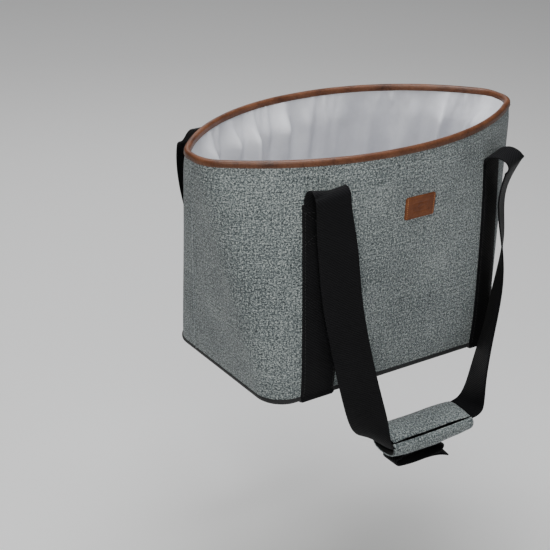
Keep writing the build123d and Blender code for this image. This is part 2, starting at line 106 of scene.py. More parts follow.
def outline(share):
    """Closed line round the bag at a share of its height, from the front's middle to the right."""
    points = []
    for sx, sy, start in ((1, -1, -90), (1, 1, 0), (-1, 1, 90), (-1, -1, 180)):
        depth, radius, turn = (RIM_BACK, BACK_R, BACK_TURN) if sy > 0 else (RIM_FRONT, FRONT_R, FRONT_TURN)
        step = CORNER - SIDE_CORNER
        meet = (sx * math.sin(turn), sy * math.cos(turn))
        side_x = sx * (HALF_LENGTH - SIDE_CORNER)
        panel_y = sy * (HALF_DEPTH - CORNER)
        panel = (lerp(side_x - step * meet[0], sx * RIM_FLAT, share),
                 lerp(panel_y, RIM_TIP_Y + sy * (depth - radius), share))
        side = (lerp(side_x, sx * (RIM_LENGTH - RIM_TIP_R), share),
                lerp(panel_y + step * meet[1], RIM_TIP_Y + sy * RIM_FLAT, share))
        pr, tr = lerp(CORNER, radius, share), lerp(SIDE_CORNER, RIM_TIP_R, share)
        a = math.radians(start)
        quarter = math.pi / 2
        arcs = [(panel, pr, a, turn), (side, tr, a + turn, quarter - turn)]
        if sx * sy > 0:
            arcs = [(side, tr, a, quarter - turn), (panel, pr, a + quarter - turn, turn)]
        for centre, r, a0, sweep in arcs:
            t = a0 + sweep * np.linspace(0, 1, 40)
            points.append(np.stack([centre[0] + r * np.cos(t), centre[1] + r * np.sin(t)], 1))
    line = np.concatenate(points)
    first = np.array([[0.0, (line[0, 1] + line[-1, 1]) / 2]])
    line = np.concatenate([first, line, first])
    keep = np.concatenate([[True], np.linalg.norm(np.diff(line, axis=0), axis=1) > 1e-6])
    return line[keep]


class Level:
    """The outline at one height, read by the length s along it from the front's middle."""

    def __init__(self, height):
        self.h = height
        self.line = outline(np.clip(height / HEIGHT, 0, 1))
        self.s = run_along(self.line)
        self.length = self.s[-1]
        half = self.s < self.length / 2
        seam = lerp(SEAM_BASE, SEAM_RIM, height / HEIGHT)
        self.seam = float(np.interp(seam, self.line[half, 1], self.s[half]))

    def at(self, s):
        s = np.asarray(s, float) % self.length
        return np.stack([np.interp(s, self.s, self.line[:, 0]), np.interp(s, self.s, self.line[:, 1])], -1)

    def normal(self, s):
        d = self.at(np.asarray(s) + 1.5) - self.at(np.asarray(s) - 1.5)
        n = np.stack([d[..., 1], -d[..., 0]], -1)
        return n / np.linalg.norm(n, axis=-1, keepdims=True)

    def front(self, x):
        """s on the front panel at an x."""
        half = self.s < self.length / 2
        top = np.argmax(self.line[half, 0])
        return np.sign(x) * np.interp(np.abs(x), self.line[: top + 1, 0], self.s[: top + 1])

    def back(self, x):
        """s on the back panel at an x."""
        top = np.argmax(self.line[:, 0])
        bottom = np.argmin(self.line[:, 0])
        part = slice(top, bottom + 1)
        return np.interp(-np.asarray(x), -self.line[part, 0], self.s[part])


LEVELS = {}


def level(height):
    key = round(float(height), 2)
    if key not in LEVELS:
        LEVELS[key] = Level(key)
    return LEVELS[key]


def front_waves(h, x):
    """How far the front's cloth stands off its board, in mm."""
    t = np.clip(h / HEIGHT, 0, 1)
    cover = smooth(h / 28) * smooth((HEIGHT - h) / 30)
    wave = 0.5 + 0.28 * np.sin(x / 31 + 1.7 * t) * np.cos(h / 47 + 0.6) + 0.22 * np.sin(x / 17 - h / 33)
    pull = 0.9 * np.exp(-((x - 92 - 10 * t) / 9) ** 2) * smooth(h / 20) * smooth((225 - h) / 60)
    return cover * (1.0 * wave + pull)


def back_waves(h, x):
    """The same for the back."""
    cover = smooth(h / 28) * smooth((HEIGHT - h) / 30)
    return cover * 0.8 * (0.5 + 0.3 * np.sin(x / 26 + 2) * np.cos(h / 41) + 0.2 * np.sin(x / 15 + h / 37))


def on_panel(h, x, side, out):
    """Points on the front (side -1) or the back at x, out past the cloth's waves, and the normals there."""
    lv = level(h)
    s = lv.front(x) if side < 0 else lv.back(x)
    waves = front_waves(h, x) if side < 0 else back_waves(h, x)
    n = lv.normal(s)
    return lv.at(s) + n * (out + waves)[:, None], n


def place(h, s, out):
    """Point on the wall at a height and length s, moved out along the level's normal."""
    lv = level(h)
    p = lv.at(s) + lv.normal(s) * np.asarray(out)[..., None]
    z = np.full(p.shape[:-1] + (1,), lv.h)
    return np.concatenate([p, z], -1)


# --- Mesh helpers ------------------------------------------------------------------------------
def build(name, verts, faces, uvs=None):
    """Mesh object from mm points, faces, and a list of (u, v) in mm for every face corner."""
    mesh = bpy.data.meshes.new(name)
    mesh.from_pydata([tuple(p) for p in row(verts)], [], faces)
    if uvs is not None:
        layer = mesh.uv_layers.new(name="cloth")
        flat = np.asarray(uvs, np.float32) / 1000.0 + np.array([0.55, 0.12], np.float32)
        layer.data.foreach_set("uv", np.clip(flat, 0.0, 1.0).ravel())
    mesh.validate()
    mesh.update()
    mesh.polygons.foreach_set("use_smooth", np.ones(len(mesh.polygons), bool))
    o = bpy.data.objects.new(name, mesh)
    bpy.context.scene.collection.objects.link(o)
    return o


def finish_piece(o, material, body, replaces=(), rides=True):
    """Materials, the body it rides on and the nodes it stands for."""
    o.data.materials.clear()
    for m in material if isinstance(material, (list, tuple)) else [material]:
        o.data.materials.append(m)
    if rides:
        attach(o, body)
    if replaces:
        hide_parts(*replaces)
    return o


def sharp_edges(o, angle=50):
    o.data.set_sharp_from_angle(angle=math.radians(angle))


def ring_quads(rows, cols, offset, flip):
    """Faces of a grid whose last column meets its first."""
    faces = []
    for r in range(rows - 1):
        low, high = offset + r * cols, offset + (r + 1) * cols
        for c in range(cols):
            d = (c + 1) % cols
            q = (low + c, low + d, high + d, high + c)
            faces.append(q[::-1] if flip else q)
    return faces


def slab(name, outer, inner, u, v):
    """Closed sheet between two grids of points, with u and v in mm."""
    rows, cols = outer.shape[:2]
    verts = np.concatenate([outer.reshape(-1, 3), inner.reshape(-1, 3)])
    n = rows * cols
    faces, uvs = [], []

    def add(corners, places):
        faces.append(tuple(corners))
        uvs.extend((u[p], v[p]) for p in places)

    for side, flip in ((0, False), (n, True)):
        for r in range(rows - 1):
            for c in range(cols - 1):
                places = [(r, c), (r, c + 1), (r + 1, c + 1), (r + 1, c)]
                corners = [side + i * cols + j for i, j in places]
                add(corners[::-1] if flip else corners, places[::-1] if flip else places)
    top = (rows - 1) * cols
    for c in range(cols - 1):
        d = c + 1
        add((n + c, n + d, d, c), [(0, c), (0, d), (0, d), (0, c)])
        e = rows - 1
        add((top + c, top + d, n + top + d, n + top + c), [(e, c), (e, d), (e, d), (e, c)])
    for r in range(rows - 1):
        a, b = r * cols, (r + 1) * cols
        add((a, b, n + b, n + a), [(r, 0), (r + 1, 0), (r + 1, 0), (r, 0)])
        a, b, e = a + cols - 1, b + cols - 1, cols - 1
        add((n + a, n + b, b, a), [(r, e), (r + 1, e), (r + 1, e), (r, e)])
    return build(name, verts, faces, uvs)


def line_inside(o, rows, cols):
    """Give the hidden side of a slab its second material."""
    count = (rows - 1) * (cols - 1)
    for i in range(count, 2 * count):
        o.data.polygons[i].material_index = 1


def tube(name, rings, u, v, closed=False):
    """Closed surface through rings of points. u per ring point (one more than the ring has), v per ring."""
    count, k = rings.shape[:2]
    faces, uvs = [], []
    for r in range(count if closed else count - 1):
        nxt = (r + 1) % count
        for c in range(k):
            d = (c + 1) % k
            faces.append((r * k + c, nxt * k + c, nxt * k + d, r * k + d))
            v1 = v[r + 1] if r + 1 < len(v) else v[r]
            uvs += [(u[c], v[r]), (u[c], v1), (u[c + 1], v1), (u[c + 1], v[r])]
    if not closed:
        faces.append(tuple(range(k)))
        uvs += [(u[c], v[0]) for c in range(k)]
        faces.append(tuple(reversed(range((count - 1) * k, count * k))))
        uvs += [(u[c], v[-1]) for c in reversed(range(k))]
    return build(name, rings.reshape(-1, 3), faces, uvs)


def spline(points, spacing):
    """Natural cubic through the points; returns samples about spacing apart, and their parameter."""
    p = np.asarray(points, float)
    t = run_along(p[:, :3])
    n = len(t)
    h = np.diff(t)
    a = np.eye(n)
    b = np.zeros((n, p.shape[1]))
    for i in range(1, n - 1):
        a[i, i - 1], a[i, i], a[i, i + 1] = h[i - 1], 2 * (h[i - 1] + h[i]), h[i]
        b[i] = 6 * ((p[i + 1] - p[i]) / h[i] - (p[i] - p[i - 1]) / h[i - 1])
    m = np.linalg.solve(a, b)
    q = np.linspace(0, t[-1], max(2, int(t[-1] / spacing)))
    i = np.clip(np.searchsorted(t, q, side="right") - 1, 0, n - 2)
    w = ((q - t[i]) / h[i])[:, None]
    hi = h[i][:, None]
    return ((1 - w) * p[i] + w * p[i + 1]
            + ((1 - w) ** 3 - (1 - w)) * hi**2 / 6 * m[i] + (w**3 - w) * hi**2 / 6 * m[i + 1])


def band_profile(width, thick):
    """Section of a flat strap with rounded edges, as (across, out) points, outward side first."""
    half, r = width / 2, thick / 2
    edge = np.linspace(-math.pi / 2, math.pi / 2, 5)
    across = np.linspace(half - r, -half + r, 13)
    right = np.stack([half - r + r * np.cos(edge), r * np.sin(edge)], 1)
    top = np.stack([across[1:-1], np.full(11, r)], 1)
    left = np.stack([-half + r - r * np.cos(edge), -r * np.sin(edge)], 1)
    low = np.stack([-across[1:-1], np.full(11, -r)], 1)
    return np.concatenate([right, top, left, low])


ENDS = {}


def ribbon(name, stations, width=WEBBING, thick=WEB_THICK, spacing=2.0, crown=0.0, flutter=0.0, v0=0.0,
           last_along=None):
    """Strap through stations of (x, y, z, across x, y, z) and, where it is cupped, how deep in mm."""
    stations = [tuple(p) + (0.0,) * (7 - len(p)) for p in stations]
    samples = spline(stations, spacing)
    centre, across = samples[:, :3], samples[:, 3:6]
    along = np.gradient(centre, axis=0)
    along /= np.linalg.norm(along, axis=1, keepdims=True)
    if last_along is not None:
        along[-1] = last_along
    ENDS[name] = (along[0].copy(), along[-1].copy())
    across = across - along * (across * along).sum(1, keepdims=True)
    across /= np.linalg.norm(across, axis=1, keepdims=True)
    out = np.cross(across, along)
    section = band_profile(width, thick)
    length = run_along(centre)
    ends = smooth(length / 25) * smooth((length[-1] - length) / 25)
    cup = samples[:, 6]
    bow = crown * ends + flutter * np.sin(length / 23.0) * ends + cup
    rise = bow[:, None] * (1 - (section[None, :, 0] / (width / 2)) ** 2)
    narrow = 1 / (1 + 8 / 3 * (cup / width) ** 2)
    rings = (centre[:, None] + across[:, None] * (section[None, :, :1] * narrow[:, None, None])
             + out[:, None] * (section[None, :, 1:] + rise[..., None]))
    u = np.concatenate([section[:, 0], section[:1, 0]])
    o = tube(name, rings, u, v0 + length)
    sharp_edges(o, 60)
    return o


# --- Materials ---------------------------------------------------------------------------------
class Nodes:
    def __init__(self, name, rough=0.6, metallic=0.0, **sockets):
        self.m = bpy.data.materials.new(name)
        self.m.use_nodes = True
        self.t = self.m.node_tree
        self.b = self.t.nodes["Principled BSDF"]
        self.b.inputs["Roughness"].default_value = rough
        self.b.inputs["Metallic"].default_value = metallic
        for key, value in sockets.items():
            self.b.inputs[key.replace("_", " ")].default_value = value

    def add(self, kind, **props):
        n = self.t.nodes.new(kind)
        for k, val in props.items():
            setattr(n, k, val)
        return n

    def link(self, a, b):
        self.t.links.new(a, b)

    def uv(self):
        return self.add("ShaderNodeUVMap", uv_map="cloth").outputs["UV"]

    def coords(self):
        return self.add("ShaderNodeTexCoord").outputs["Object"]

    def scaled(self, vector, scale):
        n = self.add("ShaderNodeMapping")
        n.inputs["Scale"].default_value = scale
        self.link(vector, n.inputs["Vector"])
        return n.outputs["Vector"]

    def noise(self, vector, scale, detail=2.0, rough=0.5):
        n = self.add("ShaderNodeTexNoise")
        n.inputs["Scale"].default_value = scale
        n.inputs["Detail"].default_value = detail
        n.inputs["Roughness"].default_value = rough
        self.link(vector, n.inputs["Vector"])
        return n.outputs["Fac"]

    def math(self, op, a, b=None, c=None):
        n = self.add("ShaderNodeMath", operation=op)
        for i, value in enumerate((a, b, c)):
            if value is None:
                continue
            if isinstance(value, (int, float)):
                n.inputs[i].default_value = value
            else:
                self.link(value, n.inputs[i])
        return n.outputs[0]

    def ramp(self, fac, stops):
        n = self.add("ShaderNodeValToRGB")
        e = n.color_ramp.elements
        while len(e) < len(stops):
            e.new(0.5)
        for item, (pos, col) in zip(e, stops):
            item.position = pos
            item.color = (*col, 1.0)
        self.link(fac, n.inputs["Fac"])
        return n.outputs["Color"]

    def mix(self, fac, a, b):
        n = self.add("ShaderNodeMix", data_type="RGBA")
        self.link(fac, n.inputs["Factor"])
        self.link(a, n.inputs[6])
        self.link(b, n.inputs[7])
        return n.outputs[2]

    def bump(self, height, strength, distance):
        n = self.add("ShaderNodeBump")
        n.inputs["Strength"].default_value = strength
        n.inputs["Distance"].default_value = distance
        self.link(height, n.inputs["Height"])
        self.link(n.outputs["Normal"], self.b.inputs["Normal"])

    def colour(self, socket):
        self.link(socket, self.b.inputs["Base Color"])

    def rough_from(self, socket, low, high):
        n = self.add("ShaderNodeMapRange")
        n.inputs["To Min"].default_value = low
        n.inputs["To Max"].default_value = high
        self.link(socket, n.inputs["Value"])
        self.link(n.outputs["Result"], self.b.inputs["Roughness"])


def split_uv(n, vector):
    s = n.add("ShaderNodeSeparateXYZ")
    n.link(vector, s.inputs[0])
    return s.outputs[0], s.outputs[1]


def weave_height(n, u, v, pitch):
    """Plain weave: threads that pass over and under each other."""
    k = math.pi / pitch
    a = n.math("SINE", n.math("MULTIPLY", u, k))
    b = n.math("SINE", n.math("MULTIPLY", v, k))
    return n.math("MULTIPLY", a, b)


def heather(name, dark, mid, light):
    n = Nodes(name, rough=0.85, Sheen_Weight=0.15, Sheen_Roughness=0.5, Specular_IOR_Level=0.25)
    uv = n.uv()
    u, v = split_uv(n, uv)
    weft = n.noise(n.scaled(uv, (330, 1250, 1)), 1.0, 3.0, 0.65)
    warp = n.noise(n.scaled(uv, (1250, 330, 1)), 1.0, 3.0, 0.65)
    weave = weave_height(n, u, v, 0.0011)
    over = n.math("MULTIPLY_ADD", weave, 0.5, 0.5)
    grey = [(0, (0, 0, 0)), (1, (1, 1, 1))]
    threads = n.mix(over, n.ramp(weft, grey), n.ramp(warp, grey))
    grain = n.noise(uv, 620.0, 2.0, 0.6)
    slub_h = n.noise(n.scaled(uv, (28, 900, 1)), 1.0, 1.0, 0.5)
    slub_v = n.noise(n.scaled(uv, (900, 28, 1)), 1.0, 1.0, 0.5)
    tone = n.math("ADD", threads, n.math("MULTIPLY", n.math("SUBTRACT", grain, 0.5), 0.75))
    for value, share in ((slub_h, 0.20), (slub_v, 0.16), (n.noise(uv, 14.0, 3.0), 0.10)):
        tone = n.math("ADD", tone, n.math("MULTIPLY", n.math("SUBTRACT", value, 0.5), share))
    n.colour(n.ramp(tone, [(0.36, dark), (0.50, mid), (0.66, light)]))
    height = n.math("ADD", weave, n.math("MULTIPLY", grain, 1.3))
    n.bump(height, 0.45, 0.0004)
    n.rough_from(grain, 0.78, 0.95)
    return n.m


def plain_weave(name, colour, light, pitch=0.0008, rough=0.8, bump=0.3, sheen=0.1, speck=0.15, **extra):
    n = Nodes(name, rough=rough, Sheen_Weight=sheen, **extra)
    uv = n.uv()
    u, v = split_uv(n, uv)
    weave = weave_height(n, u, v, pitch)
    soft = n.noise(uv, 30.0, 4.0, 0.6)
    fine = n.noise(uv, 900.0, 2.0, 0.6)
    tone = n.math("ADD", n.math("MULTIPLY", soft, 1 - speck), n.math("MULTIPLY", fine, speck))
    n.colour(n.ramp(tone, [(0.35, colour), (0.65, light)]))
    n.bump(n.math("ADD", weave, n.math("MULTIPLY", fine, 0.6)), bump, 0.0002)
    n.rough_from(soft, rough - 0.06, rough + 0.08)
    return n.m


def twill(name, colour, light):
    """Webbing: ribs that run slantwise."""
    n = Nodes(name, rough=0.62, Sheen_Weight=0.02, Sheen_Roughness=0.4, Specular_IOR_Level=0.14)
    uv = n.uv()
    u, v = split_uv(n, uv)
    slant = n.math("SUBTRACT", n.math("MULTIPLY", u, 0.62), n.math("MULTIPLY", v, 0.78))
    ribs = n.math("SINE", n.math("MULTIPLY", slant, 2 * math.pi / 0.0021))
    cross = n.math("SINE", n.math("MULTIPLY", v, 2 * math.pi / 0.0009))
    fine = n.noise(n.scaled(uv, (900, 300, 1)), 1.0, 3.0, 0.6)
    worn = n.noise(uv, 22.0, 3.0, 0.5)
    tone = n.math("ADD", n.math("MULTIPLY", ribs, 0.23), n.math("MULTIPLY_ADD", fine, 0.5, 0.12))
    tone = n.math("ADD", tone, n.math("MULTIPLY", worn, 0.3))
    n.colour(n.ramp(tone, [(0.25, colour), (0.85, light)]))
    n.bump(n.math("ADD", ribs, n.math("MULTIPLY", cross, 0.35)), 0.4, 0.00035)
    n.rough_from(fine, 0.55, 0.78)
    return n.m


def hide(name, dark, mid, light, grain=900.0, rough=0.42):
    n = Nodes(name, rough=rough, Specular_IOR_Level=0.38)
    pos = n.coords()
    cloud = n.noise(pos, 45.0, 5.0, 0.6)
    fine = n.noise(pos, 520.0, 3.0, 0.6)
    tone = n.math("ADD", n.math("MULTIPLY", cloud, 0.7), n.math("MULTIPLY", fine, 0.3))
    n.colour(n.ramp(tone, [(0.34, dark), (0.5, mid), (0.68, light)]))
    pores = n.add("ShaderNodeTexVoronoi", feature="DISTANCE_TO_EDGE")
    pores.inputs["Scale"].default_value = grain
    n.link(pos, pores.inputs["Vector"])
    relief = n.math("ADD", n.math("MULTIPLY", pores.outputs["Distance"], 2.0), n.math("MULTIPLY", fine, 0.8))
    n.bump(relief, 0.35, 0.0003)
    n.rough_from(cloud, rough - 0.08, rough + 0.15)
    return n.m


def moulded(name, colour, rough=0.5, grain=1500.0, bump=0.15, metallic=0.0, spread=0.25, stretch=None):
    n = Nodes(name, rough=rough, metallic=metallic)
    pos = n.coords()
    cloud = n.noise(pos, 60.0, 4.0, 0.6)
    fine = n.noise(n.scaled(pos, stretch) if stretch else pos, 1.0 if stretch else grain, 2.0, 0.6)
    low = tuple(max(0.0, c * (1 - spread)) for c in colour)
    high = tuple(min(1.0, c * (1 + spread)) for c in colour)
    n.colour(n.ramp(cloud, [(0.35, low), (0.65, high)]))
    n.bump(fine, bump, 0.0002)
    n.rough_from(fine, max(0.05, rough - 0.1), min(1.0, rough + 0.12))
    return n.m


heather_cloth = heather("heather_cloth", (0.038, 0.047, 0.052), (0.155, 0.182, 0.188), (0.48, 0.52, 0.51))
seam_mat = heather("seam_cloth", (0.12, 0.14, 0.15), (0.30, 0.33, 0.34), (0.55, 0.58, 0.58))
black_lined = plain_weave("black_cloth", (0.006, 0.006, 0.007), (0.014, 0.014, 0.016), 0.0011, 0.78, 0.4)
lining_mat = plain_weave(
    "lining_satin", (0.60, 0.605, 0.65), (0.70, 0.705, 0.745), 0.0006, 0.5, 0.12, 0.1, 0.08
)
webbing_mat = twill("webbing_twill", (0.0010, 0.0010, 0.0013), (0.0075, 0.0075, 0.0092))
binding_mat = hide(
    "binding_leather", (0.045, 0.015, 0.007), (0.115, 0.042, 0.019), (0.19, 0.078, 0.038), 900.0, 0.34
)
label_mat = hide(
    "label_leather", (0.075, 0.018, 0.005), (0.15, 0.042, 0.011), (0.24, 0.078, 0.022), 700.0, 0.5
)
board_mat = moulded("board", (0.6, 0.6, 0.57), 0.8)
black_plastic = moulded("black_plastic", (0.018, 0.018, 0.02), 0.48)
red_plastic = moulded("red_plastic", (0.42, 0.018, 0.02), 0.32, 900.0, 0.05, 0.0, 0.1)
rubber_mat = moulded("rubber", (0.02, 0.02, 0.02), 0.85, 2200.0, 0.3)
steel_mat = moulded(
    "zinc_steel", (0.52, 0.52, 0.54), 0.32, bump=0.2, metallic=1.0, spread=0.1, stretch=(180, 180, 1400)
)
spring_mat = moulded(
    "spring_steel", (0.45, 0.45, 0.47), 0.25, bump=0.1, metallic=1.0, spread=0.1, stretch=(300, 300, 1400)
)
aluminium_mat = moulded(
    "aluminium", (0.65, 0.65, 0.67), 0.4, bump=0.15, metallic=1.0, spread=0.08, stretch=(120, 900, 900)
)
foam_mat = moulded("foam", (0.05, 0.05, 0.05), 0.95, 700.0, 0.8)
thread_brown = moulded("thread_brown", (0.10, 0.045, 0.022), 0.7, 3000.0, 0.3)
thread_grey = moulded("thread_grey", (0.30, 0.33, 0.34), 0.7, 3000.0, 0.3)
thread_black = moulded("thread_black", (0.008, 0.008, 0.009), 0.6, 3000.0, 0.3)
thread_tan = moulded("thread_tan", (0.50, 0.22, 0.08), 0.7, 3000.0, 0.3)

node_materials = {
    "heather_fabric": heather_cloth, "black_fabric": black_lined, "lining_cloth": lining_mat, "webbing": webbing_mat,
    "leather": binding_mat, "label_leather": label_mat, "board": board_mat, "black_plastic": black_plastic,
    "red_plastic": red_plastic, "rubber": rubber_mat, "steel": steel_mat, "spring_steel": spring_mat,
    "foam": foam_mat, "aluminium": aluminium_mat,
}
for item in frame["record"]["subparts"]:
    o = nodes[item["node"]]
    o.data.materials.clear()
    o.data.materials.append(node_materials[item["material_slot"]])


# --- Shell -------------------------------------------------------------------------------------
COVER_TOP = 4.6
heights = np.concatenate([
    np.linspace(COVER_TOP - 1.2, 12, 6), np.arange(14.5, HEIGHT - 3, 2.6), [HEIGHT - 1.5],
])


def shell(name, node, back):
    cols = 181
    outer, inner, us = [], [], []
    t = np.linspace(0, 1, cols)
    for h in heights:
        lv = level(h)
        s = lerp(-lv.seam, lv.seam, t)
        if back:
            s = lerp(lv.seam, lv.length - lv.seam, t)
        x = lv.at(s)[:, 0]
        edge = np.minimum(t, 1 - t) * (s[-1] - s[0])
        waves = back_waves(h, x) if back else front_waves(h, x)
        if back:
            welt = 0.25 * np.exp(-((edge - 1.5) / 2.0) ** 2)
        else:
            welt = 0.9 * np.exp(-((edge - 1.8) / 2.2) ** 2) - 0.21 * np.exp(-((edge - 5.5) / 1.6) ** 2)
        out = 0.9 + waves + welt * smooth(edge / 0.9) - 0.55 * np.exp(-(edge / 0.8) ** 2)
        top = smooth((HEIGHT - 5 - h) / 9)
        out = lerp(0.35, out, top)
        outer.append(place(h, s, out))
        inner.append(place(h, s, np.full(cols, -0.75)))
        us.append(s - (lv.length / 2 if back else 0))
    outer, inner = np.array(outer), np.array(inner)
    v = np.repeat(heights[:, None], cols, 1)
    o = slab(name, outer, inner, np.array(us), v)
    return finish_piece(o, heather_cloth, "bag", [node])


front = shell("shell_front_cloth", "shell_front", False)
back = shell("shell_back_cloth", "shell_back", True)


def stitches(name, places, tangents, normals, material, body, length, radius):
    """Short threads that stand a little out of the cloth, one at each place."""
    ring = 6
    a = np.linspace(0, 2 * math.pi, ring, endpoint=False)
    prof = [(-0.5, 0.35), (-0.32, 0.9), (0.0, 1.0), (0.32, 0.9), (0.5, 0.35)]
    verts, faces, uvs = [], [], []
    for p, t, n in zip(places, tangents, normals):
        t = t / np.linalg.norm(t)
        n = n - t * (n @ t)
        n /= np.linalg.norm(n)
        side = np.cross(t, n)
        base = len(verts)
        for along, r in prof:
            for ang in a:
                lift = radius * (0.35 - 1.2 * (2 * along) ** 2 * 0.5)
                up = n * (lift + radius * r * math.sin(ang))
                verts.append(p + t * along * length + up + side * radius * r * math.cos(ang))
        faces += ring_quads(len(prof), ring, base, False)
        faces.append(tuple(base + c for c in reversed(range(ring))))
        faces.append(tuple(base + (len(prof) - 1) * ring + c for c in range(ring)))
    o = build(name, np.array(verts), faces)
    return finish_piece(o, material, body)


# Topstitching beside the side seams
pts, tans, nors = [], [], []
for sign in (-1, 1):
    for h in np.arange(14, HEIGHT - 12, 4.2):
        lv = level(h)
        s = sign * (lv.seam - 5.2)
        n2 = lv.normal(np.array([s]))[0]
        pts.append(place(h, np.array([s]), np.array([1.25 + front_waves(h, lv.at(np.array([s]))[0, 0])]))[0])
        nors.append(np.array([n2[0], n2[1], 0.0]))
        above = level(h + 4)
        tans.append(np.append(above.at(np.array([sign * (above.seam - 5.2)]))[0] - lv.at(np.array([s]))[0], 4.0))
stitches("seam_stitches", pts, tans, nors, thread_grey, "bag", 2.8, 0.34)

# Narrow folded edge that stands up along each side seam
a = np.linspace(0, 2 * math.pi, 8, endpoint=False)
for sign, side_name in ((-1, "left"), (1, "right")):
    rings, length = [], []
    for h in np.arange(COVER_TOP + 0.4, HEIGHT - 4, 2.5):
        lv = level(h)
        s = np.array([sign * lv.seam])
        n2 = lv.normal(s)[0]
        side = np.array([-n2[1], n2[0]])
        mid = lv.at(s)[0] + n2 * (0.75 + 0.12 * math.sin(h / 3.1))
        ring = [[*(mid + n2 * 0.85 * math.cos(q) + side * 0.75 * math.sin(q)), h] for q in a * -sign]
        rings.append(ring[::sign])
        length.append(h)
    welt = tube(f"seam_edge_{side_name}", np.array(rings), np.linspace(0, 5, 9), length)
    finish_piece(welt, seam_mat, "bag")

# --- Base cover with its piped edge ------------------------------------------------------------
cols = 300
t = np.linspace(0, 1, cols, endpoint=False)
l0 = level(0)
base_rows = []
profile = [
    (0.55, COVER_TOP + 0.4), (1.5, COVER_TOP), (2.1, COVER_TOP - 1.4), (2.1, 1.7),
    (1.6, 0.2), (0.7, -0.5), (-1.0, -0.7),
]
for out, z in profile:
    p = l0.at(t * l0.length) + l0.normal(t * l0.length) * out
    base_rows.append(np.concatenate([p, np.full((cols, 1), z)], 1))
centre_line = l0.at(t * l0.length)
for shrink in (0.97, 0.9, 0.75, 0.55, 0.3, 0.08):
    p = centre_line * shrink
    sag = -0.75 - 0.5 * (1 - shrink**2) * (1 + 0.3 * np.sin(p[:, 0] / 24) * np.cos(p[:, 1] / 19))
    base_rows.append(np.concatenate([p, sag[:, None]], 1))
outer = np.array(base_rows)
inner_rows = []
for k, ring in enumerate(outer):
    q = ring.copy()
    if k < len(profile):
        out, z = profile[k]
        p = l0.at(t * l0.length) + l0.normal(t * l0.length) * min(out - 1.0, -0.15)
        q = np.concatenate([p, np.full((cols, 1), max(z, 0.45))], 1)
    else:
        q[:, 2] = 0.45
    inner_rows.append(q)
inner = np.array(inner_rows)
rows_n = len(outer)
verts = np.concatenate([outer.reshape(-1, 3), inner.reshape(-1, 3)])
n_out = rows_n * cols
faces = ring_quads(rows_n, cols, 0, True) + ring_quads(rows_n, cols, n_out, False)
for c in range(cols):
    d = (c + 1) % cols
    faces.append((c, d, n_out + d, n_out + c))
faces.append(tuple((rows_n - 1) * cols + c for c in reversed(range(cols))))
faces.append(tuple(n_out + (rows_n - 1) * cols + c for c in range(cols)))
flat_uv = [(x, y) if abs(z) < 1.5 else (x + y * 0.5, z) for x, y, z in verts]
uvs = [flat_uv[i] for f in faces for i in f]
base = build("base_cloth", verts, faces, uvs)
finish_piece(base, black_lined, "bag", ["base_cover"])

# --- Lining ------------------------------------------------------------------------------------
LINING, FOLD_DEPTH, PUCKER_DEPTH = 4.1, 36.0, 2.2
lining_cols = 420
t = np.linspace(0, 1, lining_cols, endpoint=False)
# Folds as how many go round, their share, their phase and how much they lean
fold_set = [
    (9, 0.5, 0.4, 0.006), (14, 0.8, 2.1, -0.009), (23, 1.0, 4.0, 0.012),
    (34, 0.7, 1.2, -0.016), (53, 0.15, 3.3, 0.01),
]


def folds(share_round, h):
    """How far the lining hangs inwards from the wall, in mm."""
    total = np.zeros_like(share_round)
    weight = 0.0
    for count, size, phase, lean in fold_set:
        sway = phase + lean * h + 0.7 * math.sin(h / 60 + count)
        wave = 0.5 + 0.5 * np.sin(2 * math.pi * count * share_round + sway)
        total += size * wave**1.8
        weight += size
    total /= weight
    drift = 0.6 + 0.4 * np.sin(2 * math.pi * 3 * share_round + 1.0 + h / 90)
    body = (0.12 + 0.88 * smooth((HEIGHT - 5 - h) / 28)) * smooth((HEIGHT - 1 - h) / 7) * smooth((h - 6) / 50)
    crowd = 3.1 * np.sin(2 * math.pi * 7 * share_round)
    pucker = (0.5 + 0.5 * np.sin(2 * math.pi * 71 * share_round + crowd)) ** 2
    pucker *= 0.5 + 0.5 * np.sin(2 * math.pi * 11 * share_round + 0.8)
    near_rim = np.exp(-((HEIGHT - 12 - h) / 8.0) ** 2)
    return FOLD_DEPTH * total * drift * body + PUCKER_DEPTH * pucker * near_rim


rings, vs = [], []
lining_heights = list(np.arange(HEIGHT - 2.0, 12, -3.0)) + [9.5, 7.2]
down = 0.0
for h in lining_heights:
    lv = level(h)
    s = t * lv.length
    d = LINING + folds(t, h)
    if h < 10:
        d = d + (10 - h) * 1.2
    rings.append(place(h, s, -d))
    vs.append(down)
    down += 3.0
edge_ring = rings[-1].copy()
for shrink in (0.95, 0.86, 0.74, 0.58, 0.40, 0.20, 0.04):
    p = edge_ring.copy()
    p[:, :2] *= shrink
    ripple = 0.9 * np.sin(p[:, 0] / 21 + 0.5) * np.cos(p[:, 1] / 27 + 0.3)
    ripple += 0.5 * np.sin(p[:, 0] / 11 + p[:, 1] / 13)
    p[:, 2] = 6.0 + 0.8 + ripple * (1 - shrink) * 1.2 * smooth((1 - shrink) * 8)
    rings.append(p)
    vs.append(down)
    down += 12.0
rings = np.array(rings)
